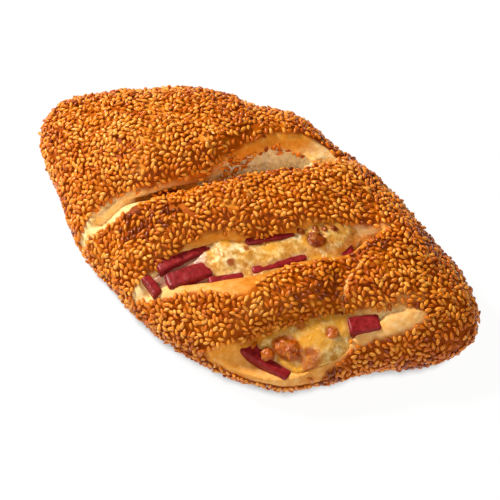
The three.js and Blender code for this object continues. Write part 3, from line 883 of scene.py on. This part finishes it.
# Turns each seed to the direction in which it overlaps its neighbours least
def settleTurns(spots, facing, tries, draw):
    count = len(spots)
    tree = searchTree(spots)
    most = seeds["neighbours"]
    neighbours = np.full((count, most), -1)
    for index, spot in enumerate(spots):
        found = [other for _, other, _ in tree.find_n(spot, most + 1) if other != index][:most]
        neighbours[index, :len(found)] = found
    first = unitRows(np.cross(facing, draw.normal(size=(seeds["tries"], 3))[tries]))
    second = np.cross(facing, first)
    turn = draw.random(seeds["tries"])[tries] * math.pi
    stations = np.array((-0.36, 0, 0.36)) * seeds["length"]
    width, steps = seeds["width"], seeds["turns"]

    def beads(angle):
        direction = first * np.cos(angle)[:, None] + second * np.sin(angle)[:, None]
        return spots[:, None] + direction[:, None] * stations[None, :, None]

    overlap = np.zeros(count)
    for _ in range(seeds["rounds"]):
        others = beads(turn)[neighbours]
        options = []
        for step in range(steps):
            mine = beads(turn + step * math.pi / steps)
            gaps = np.linalg.norm(mine[:, :, None, None] - others[:, None], axis=-1)
            options.append((np.maximum(width - gaps, 0) ** 2).sum(axis=(1, 2, 3)))
        options = np.array(options)
        best = options.argmin(axis=0)
        movers = draw.random(seeds["tries"])[tries] < 0.5
        turn = np.where(movers, turn + best * math.pi / steps, turn)
        overlap = options.min(axis=0)
    direction = first * np.cos(turn)[:, None] + second * np.sin(turn)[:, None]
    return direction, overlap


def seedPattern():
    piece = startWith(bpy.ops.mesh.primitive_uv_sphere_add, "seed_pattern",
                      segments=seeds["sides"], ring_count=seeds["rings"], radius=0.5)
    unit = getPoints(piece) * mm
    taper = 1 - 0.4 * (unit[:, 2] + 0.5) ** 2  # one end comes to a blunt point
    shape = np.stack((unit[:, 2] * seeds["length"], unit[:, 0] * taper * seeds["width"],
                      unit[:, 1] * taper * seeds["thickness"]), 1)
    faces = [tuple(face.vertices) for face in piece.data.polygons]
    tip = ease(0.3, 0.5, unit[:, 2]) + 0.6 * ease(0.35, 0.5, -unit[:, 2])
    bpy.data.objects.remove(piece)
    return shape, faces, tip


def joinedCopies(name, pattern, centres, axes, sizes, toast):
    shape, faces, tip = pattern
    copies, count = len(centres), len(shape)
    points = np.einsum("nvi,nij->nvj", shape[None] * sizes[:, None], axes) + centres[:, None]
    points = points.reshape(-1, 3)
    points[:, 2] = np.maximum(points[:, 2], 0.02)
    mesh = bpy.data.meshes.new(name)
    lengths = np.array([len(face) for face in faces])
    flat = np.concatenate([np.array(face) for face in faces])
    corners = (flat[None] + count * np.arange(copies)[:, None]).ravel()
    starts = np.concatenate(([0], np.cumsum(np.tile(lengths, copies))[:-1]))
    mesh.vertices.add(count * copies)
    mesh.vertices.foreach_set("co", (points * mm).astype(np.float32).ravel())
    mesh.loops.add(len(corners))
    mesh.loops.foreach_set("vertex_index", corners.astype(np.int32))
    mesh.polygons.add(len(starts))
    mesh.polygons.foreach_set("loop_start", starts.astype(np.int32))
    mesh.update(calc_edges=True)
    mesh.validate()
    piece = bpy.data.objects.new(name, mesh)
    bpy.context.scene.collection.objects.link(piece)
    setShare(piece, "toast", np.repeat(toast, count))
    setShare(piece, "tip", np.tile(tip, copies) * 0.8)
    smoothShade(piece)
    return piece


def seedAxes(direction, facing, tilt):
    longAxis = direction * np.cos(tilt)[:, None] + facing * np.sin(tilt)[:, None]
    upAxis = facing * np.cos(tilt)[:, None] - direction * np.sin(tilt)[:, None]
    return np.stack((longAxis, np.cross(upAxis, longAxis), upAxis), 1)


def makeSeeds(piece, finish):
    draw = np.random.default_rng(11)
    # every draw is made for all tries, so one seed more or less leaves the others as they are
    spots, facing, tries = spreadPlaces(piece, draw)
    count, drawn = len(spots), seeds["tries"]
    direction, overlap = settleTurns(spots, facing, tries, draw)
    print("seeds", count, "overlap", round(float(overlap.mean()), 3))
    crowded = np.clip(overlap / seeds["crowdedAt"], 0, 1) * draw.random(drawn)[tries]
    onTop = (draw.random(drawn)[tries] < seeds["layered"]) & (spots[:, 2] > 15)
    crowded = np.where(onTop, 1, crowded)
    tilt = draw.normal(0, seeds["tiltSpread"], drawn)[tries]
    tilt = tilt + crowded * draw.choice(seeds["propped"], drawn)[tries]
    centres = spots + facing * (seeds["thickness"] / 2 - seeds["sunk"] + 0.75 * crowded)[:, None]
    axes = seedAxes(direction, facing, tilt)
    sizes = draw.normal(1, seeds["sizeSpread"], (drawn, 3))[tries].clip(0.75, 1.25)
    patches = np.clip(uneven(spots, 22, 21, 2.2) + 0.5, 0, 1)
    toast = 0.6 * draw.random(drawn)[tries] + 0.3 * patches
    along, across = toSlash(*spots[:, :2].T)
    ragged = uneven(spots, 6, 24, 1)
    # a negative amount makes seeds paler: painted light on the far lobe's left
    for (u, n), (reachAlong, reachAcross), more in seeds["toasted"]:
        away = np.hypot((along - u) / reachAlong, (across - n) / reachAcross) + ragged
        toast = toast + more * (1 - ease(0.5, 1.1, away)) * draw.random(drawn)[tries]
    rank = np.argsort(np.argsort(toast)) / count
    toast = 0.02 + 0.76 * rank + 0.2 * ease(0.92, 1.0, rank)
    group = np.minimum((rank * seeds["groups"]).astype(int), seeds["groups"] - 1)
    pattern = seedPattern()
    for index, shade in enumerate(("pale", "golden", "amber", "brown")):
        mine = group == index
        joined = joinedCopies("sesame_" + shade, pattern, centres[mine], axes[mine], sizes[mine],
                              toast[mine])
        joined.data.materials.append(finish)
        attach(joined, "root")


# Makes the loaf's mesh coarser where the seeds hide it
def thinCrust(piece):
    points = getPoints(piece)
    hidden = (bareDough(points)[0] < -2) & (sparseness(points) < 0.1)
    piece.vertex_groups.new(name="hidden").add(np.nonzero(hidden)[0].tolist(), 1.0, "REPLACE")
    ratio = loaf["mostTriangles"] / triangleCount(piece)
    finishWith(piece, "DECIMATE", ratio=ratio, vertex_group="hidden")
    piece.vertex_groups.clear()
    print("loaf thinned to", triangleCount(piece))


print("seeds")
makeSeeds(bread, makeMaterial(sesameLook))
thinCrust(bread)


# Salami sticks, each in its own place and turn as the frame has it

salami = {
    "edge": 1.1,
    "voxel": 0.45,
    "sag": 0.35,      # the cut faces dry and sink a little
}


def boxAxes(node):
    points = np.array([node.matrix_world @ vertex.co for vertex in node.data.vertices]) / mm
    middle = (points.max(axis=0) + points.min(axis=0)) / 2
    _, _, axes = np.linalg.svd(points - points.mean(axis=0), full_matrices=False)
    if np.linalg.det(axes) < 0:
        axes[2] = -axes[2]
    spans = (points - middle) @ axes.T
    return middle, axes, spans.max(axis=0) - spans.min(axis=0)


def makeStick(name, node, finish):
    middle, axes, size = boxAxes(node)
    piece = startWith(bpy.ops.mesh.primitive_cube_add, name.replace("salami", "stick"), size=1)
    setPoints(piece, getPoints(piece) * mm * size)
    finishWith(piece, "BEVEL", width=salami["edge"] * mm, segments=3)
    finishWith(piece, "REMESH", mode="VOXEL", voxel_size=salami["voxel"] * mm)
    finishWith(piece, "SMOOTH", factor=0.5, iterations=3)
    points, normals = getPoints(piece), getNormals(piece)
    share = points / (size / 2)
    sink = salami["sag"] * (1 - np.clip(np.abs(share[:, 1]), 0, 1) ** 2) * np.abs(normals[:, 2])
    seed = sum(map(ord, name)) % 50
    rough = uneven(points, 3, seed, 0.5) - sink
    points = points + normals * rough[:, None]
    points[:, 2] += 0.4 * (1 - share[:, 0] ** 2)
    setPoints(piece, points @ axes + middle)
    smoothShade(piece)
    piece.data.materials.append(finish)
    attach(piece, "root")
    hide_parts(name)
    return piece


salamiFinish = makeMaterial(salamiLook)
print("salami sticks")
sticks = [makeStick(name, node, salamiFinish) for name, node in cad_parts.items()
          if name.startswith("salami")]


# Melted cheese

cheese = {
    "bottom": 12,
    "bulge": 1.2,
    "voxel": 0.55,
    "underCrust": 1,  # how far it stays under the crust, and under the loaf's side
    "underSide": 0.7,
    # browned lumps, blisters and crusted bits: middle, radii, how dark
    "lumps": (
        ((49.5, -45.5, 21.5), (6.2, 4.6, 3.6), 0.15),
        ((43.5, -51.5, 19.8), (2.9, 2.6, 2.2), 0.1),
        ((62, -31.8, 25.6), (2.9, 2.8, 1.8), 0.1),
        ((35.6, -0.6, 35.0), (3.7, 3.3, 1.9), 0.75),
        ((29, -1.7, 36.6), (1.5, 1.0, 0.9), 0.5),
        ((33.6, 2.6, 37), (1.6, 1.1, 0.9), 0.7),
        ((36.4, 4.4, 37), (1.5, 1.0, 0.8), 0.6),
        ((39.7, 7.2, 36.6), (1.7, 1.1, 0.9), 0.7),
    ),
    # scorched spots: place in plan, radius
    "spots": (((11.5, -28.6), 1.8), ((13.6, -19.9), 1.4), ((50, -36), 2.0), ((60, -45), 4.5)),
    # patches where the fat came out; the last two are painted shade beside the right-hand salami
    # stick
    "orange": (((57, -38), 7.0), ((50, -33), 4.0), ((35.6, -0.6), 6.0), ((21, -14), 4.0),
               ((5, -22), 3.0), ((64, -26), 5.0), ((58, -27), 4.0)),
}


# Draws places in from the loaf's side, so that nothing comes out there
def keptInside(x, y):
    dx, dy = x - loaf["heart"][0], y - loaf["heart"][1]
    share = np.hypot(dx, dy) / outlineRadius(np.arctan2(dy, dx))
    inward = np.minimum(1, 0.975 / share)
    return loaf["heart"][0] + dx * inward, loaf["heart"][1] + dy * inward


def makeFilling(slash):
    piece = startWith(bpy.ops.mesh.primitive_grid_add, "filling", x_subdivisions=150,
                      y_subdivisions=44, size=2)
    unit = getPoints(piece) * mm
    along = slash["cut"][0] + 2 + (slash["cut"][1] - slash["cut"][0] - 4) * (unit[:, 0] + 1) / 2
    far, near = edgesAt(slash, along)
    farReach, nearReach = slash["spread"]
    share = (unit[:, 1] + 1) / 2
    across = far - farReach + share * (near - far + farReach + nearReach)
    inner = np.clip((across - far) / (near - far), 0, 1)
    farLevel, nearLevel = (stationAt(slash, key, along) for key in ("cheeseFar", "cheeseNear"))
    level = farLevel * (1 - inner) + nearLevel * inner
    level = level + cheese["bulge"] * 4 * inner * (1 - inner)
    x, y = keptInside(*fromSlash(along, across))
    share = outlineShare(x, y)
    under = np.minimum(level, crustHeight(x, y, share) - cheese["underCrust"])
    beyond = np.maximum((far - across) / farReach, (across - near) / nearReach)
    z = level + ease(0.3, 1, beyond) * (under - level)
    z = np.minimum(z, domeProfile(share) - cheese["underSide"])
    setPoints(piece, np.stack((x, y, z), 1))
    finishWith(piece, "SOLIDIFY", thickness=mm, offset=-1)
    points = getPoints(piece)
    points[len(z):, 2] = np.minimum(cheese["bottom"], points[:len(z), 2] - 1)
    setPoints(piece, points)
    return piece


def makeLump(middle, radii, seed):
    piece = startWith(bpy.ops.mesh.primitive_ico_sphere_add, "lump", subdivisions=4, radius=1)
    points = getPoints(piece) * mm
    crag = 1 + uneven(points * 3, 1.6, seed, 0.5)
    setPoints(piece, points * crag[:, None] * radii + middle)
    return piece


def makeCheese(finish):
    parts = [makeFilling(slash) for slash in slashes]
    for seed, (middle, radii, _) in enumerate(cheese["lumps"]):
        parts.append(makeLump(middle, radii, seed))
    selectOnly(parts[0])
    for part in parts:
        part.select_set(True)
    bpy.ops.object.join()
    piece = named("melted_cheese")
    finishWith(piece, "REMESH", mode="VOXEL", voxel_size=cheese["voxel"] * mm)
    finishWith(piece, "SMOOTH", factor=0.5, iterations=3)
    points, normals = getPoints(piece), getNormals(piece)
    brown, char = np.zeros(len(points)), np.zeros(len(points))
    for middle, radii, dark in cheese["lumps"]:
        reach = np.linalg.norm((points - middle) / radii, axis=1)
        brown = np.maximum(brown, 1 - ease(1.0, 1.35, reach))
        char = np.where(reach < 1.4, dark, char)
    crusty = brown.copy()
    for spot, radius in cheese["spots"]:
        reach = np.hypot(*(points[:, :2] - spot).T) / radius
        faded = ease(0.6, 1.3, reach + uneven(points, 2, 41, 0.8))
        brown = np.maximum(brown, 0.9 * (1 - faded))
        char = np.where((reach < 1.4) & (radius < 2), 0.6, char)
    orange = np.zeros(len(points))
    for spot, radius in cheese["orange"]:
        reach = np.hypot(*(points[:, :2] - spot).T) / radius
        orange = np.maximum(orange, 1 - ease(0.5, 1.2, reach + uneven(points, 5, 43, 1)))
    top = ease(0.2, 0.7, normals[:, 2])
    bubbles = uneven(points, 6, 31, 1.7, 2) + uneven(points, 1.7, 33, 0.3, 1)
    crags = uneven(points, 1.7, 35, 2.6) * crusty
    points = points + normals * (bubbles * top * (1 - crusty) + crags)[:, None]
    setPoints(piece, points)
    stickPoints = np.concatenate([getPoints(stick)[::7] for stick in sticks])
    tree = searchTree(stickPoints)
    gaps = np.array([tree.find(point)[2] for point in points])
    along, across = toSlash(*points[:, :2].T)
    for slash in slashes:
        far, near = edgesAt(slash, along)
        offMiddle = np.abs((across - far) / (near - far) - 0.5)
        rim = ease(0.28, 0.5, offMiddle) * (offMiddle < 1) * ease(0.35, 0.6, clouds(points, 6, 45))
        orange = np.maximum(orange, rim)
        ripened = slash["ripe"] * ease(0.25, 0.7, clouds(points, 4.5, 47)) * (offMiddle < 1)
        orange = np.maximum(orange, ripened)
    amongSticks = (1 - ease(-26, -20, along)) * ease(10, 18, across) * (1 - ease(40, 45, across))
    nearSticks = 1 - ease(0.2, 1.4, gaps + uneven(points, 3, 37, 1.5))
    pink = np.maximum(0.5 * nearSticks, amongSticks) * 0.9
    setShare(piece, "brown", brown)
    setShare(piece, "char", char)
    setShare(piece, "orange", orange * 0.85)
    setShare(piece, "pink", pink)
    smoothShade(piece)
    piece.data.materials.append(finish)
    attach(piece, "root")
    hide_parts("cheese")
    print("cheese triangles", triangleCount(piece))


print("cheese")
makeCheese(makeMaterial(cheeseLook))


# Studio: pale floor, soft light, and the camera

studio = {
    "aim": (9.5, -10.7, 20),
    "azimuth": 32,
    "elevation": 54,
    "distance": 760,
    "lens": 128.6,
    "ambient": 0.14,
    # name, place in metres, size, power in watts
    "lamps": (
        ("key_light", (-0.98, 0.0, 0.9), 0.3, 24.5),
        ("fill_light", (0.5, -0.9, 1.1), 0.8, 8.5),
    ),
}


def makeStudio():
    floor = startWith(bpy.ops.mesh.primitive_plane_add, "studio_floor", size=6)
    floor.data.materials.append(paperMaterial())
    azimuth, elevation = math.radians(studio["azimuth"]), math.radians(studio["elevation"])
    level = math.cos(elevation)
    back = np.array((math.sin(azimuth) * level, -math.cos(azimuth) * level, math.sin(elevation)))
    place = (np.array(studio["aim"]) + back * studio["distance"]) * mm
    bpy.ops.object.camera_add(location=place)
    camera = bpy.context.active_object
    camera.data.lens = studio["lens"]
    camera.data.sensor_width = 36
    camera.data.clip_start = 0.01
    camera.rotation_euler = Vector(-back).to_track_quat("-Z", "Y").to_euler()
    bpy.context.scene.camera = camera
    world = bpy.data.worlds.new("studio")
    bpy.context.scene.world = world
    world.use_nodes = True
    background = world.node_tree.nodes["Background"]
    background.inputs["Color"].default_value = (1, 0.82, 0.6, 1)
    background.inputs["Strength"].default_value = studio["ambient"]
    for name, spot, size, power in studio["lamps"]:
        bpy.ops.object.light_add(type="AREA", location=spot)
        lamp = bpy.context.active_object
        lamp.name = name
        lamp.data.shape = "DISK"
        lamp.data.size = size
        lamp.data.energy = power
        lamp.data.color = (1, 0.95, 0.88)
        lamp.rotation_euler = Vector(spot).to_track_quat("Z", "Y").to_euler()
    bpy.context.scene.view_settings.view_transform = "Standard"


print("studio")
makeStudio()
